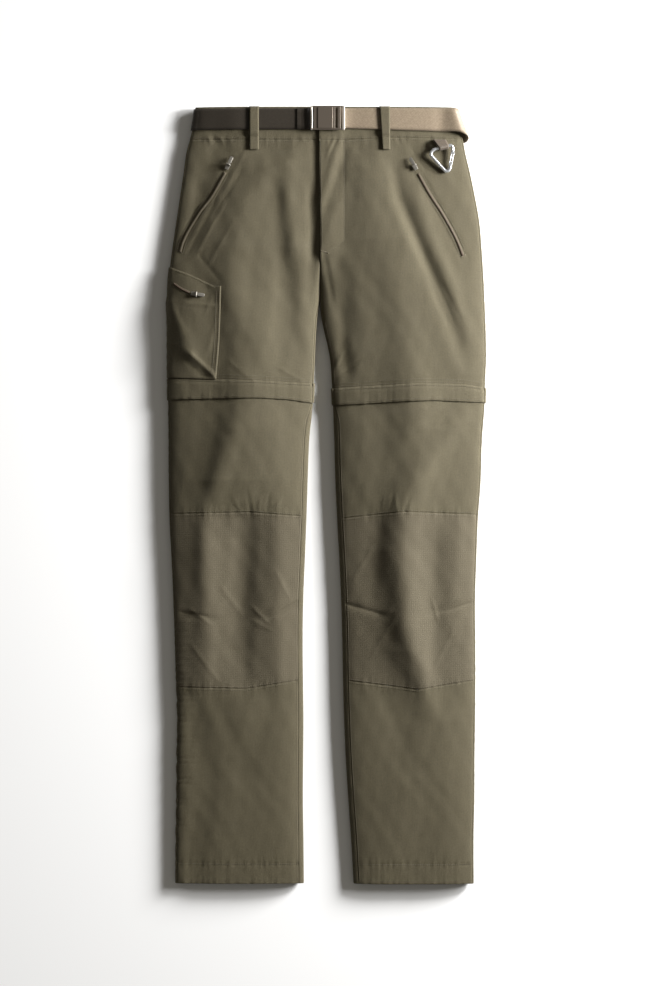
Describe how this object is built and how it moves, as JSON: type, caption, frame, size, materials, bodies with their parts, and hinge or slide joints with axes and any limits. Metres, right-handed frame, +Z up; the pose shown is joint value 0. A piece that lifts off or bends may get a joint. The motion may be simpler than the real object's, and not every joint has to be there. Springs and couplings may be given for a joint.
{
  "type": "convertible zip-off trousers",
  "caption": "Men's walking trousers laid flat, with zip-off lower legs, webbing belt, zipped hand and thigh pockets and a clip on the waist.",
  "frame": {"origin": "middle of the outline seen from above, on the surface that the trousers lie on", "axes": "+X towards the wearer's left side, +Y towards the waist, +Z up from the surface"},
  "size_m": [0.4374, 1.0609, 0.0266],
  "materials": {
    "cloth": "matt plain-weave stretch nylon in olive brown",
    "patch": "fine ripstop, slightly lighter",
    "webbing": "satin polyester webbing",
    "zip": "brown coil zip on woven tape",
    "gunmetal": "satin taupe lacquer on zinc",
    "silver": "bright anodised"
  },
  "bodies": {
    "trousers": {"front_right": "cloth", "front_left": "cloth", "back_right": "cloth", "back_left": "cloth", "waistband_right": "cloth", "waistband_left": "cloth", "waistband_back": "cloth", "band_front_right": "cloth", "band_front_left": "cloth", "band_back_right": "cloth", "band_back_left": "cloth", "leg_top_right": "cloth", "leg_top_left": "cloth", "leg_low_right": "cloth", "leg_low_left": "cloth", "leg_back_right": "cloth", "leg_back_left": "cloth", "pocket_thigh": "cloth", "loop_right": "cloth", "loop_left": "cloth", "loop_back_right": "cloth", "loop_back_mid": "cloth", "loop_back_left": "cloth", "knee_right": "patch", "knee_left": "patch", "belt": "webbing", "clip_tape": "webbing", "leg_zip_right": "zip", "leg_zip_left": "zip", "zip_hand_right": "zip", "zip_hand_left": "zip", "zip_thigh": "zip", "buckle": "gunmetal", "slider_hand_right": "gunmetal", "slider_hand_left": "gunmetal", "slider_thigh": "gunmetal"},
    "pull_hand_right": {"pull_hand_right": "gunmetal"},
    "pull_hand_left": {"pull_hand_left": "gunmetal"},
    "pull_thigh": {"pull_thigh": "gunmetal"},
    "clip": {"clip": "silver"},
    "clip_gate": {"clip_gate": "silver"}
  },
  "joints": [
    {"name": "pull_hand_right_swing", "type": "hinge", "parent": "trousers", "child": "pull_hand_right", "pos_m": [-0.13343, 0.45084, 0.02043], "axis": [0.9102, -0.4141, 0], "range_deg": [0, 110]},
    {"name": "pull_hand_left_swing", "type": "hinge", "parent": "trousers", "child": "pull_hand_left", "pos_m": [0.11954, 0.44972, 0.02142], "axis": [0.8689, 0.495, 0], "range_deg": [0, 110]},
    {"name": "pull_thigh_swing", "type": "hinge", "parent": "trousers", "child": "pull_thigh", "pos_m": [-0.17716, 0.27399, 0.02547], "axis": [-0.14, -0.9901, 0], "range_deg": [0, 110]},
    {"name": "clip_swing", "type": "hinge", "parent": "trousers", "child": "clip", "pos_m": [0.15827, 0.47423, 0.01976], "axis": [-0.9681, -0.242, 0.0645], "range_deg": [0, 140]},
    {"name": "gate_swing", "type": "hinge", "parent": "clip", "child": "clip_gate", "pos_m": [0.16897, 0.4517, 0.01787], "axis": [0.078, -0.0465, 0.9959], "range_deg": [0, 22], "stiffness_Nm_per_rad": 0.004, "springref_deg": -11.46}
  ]
}
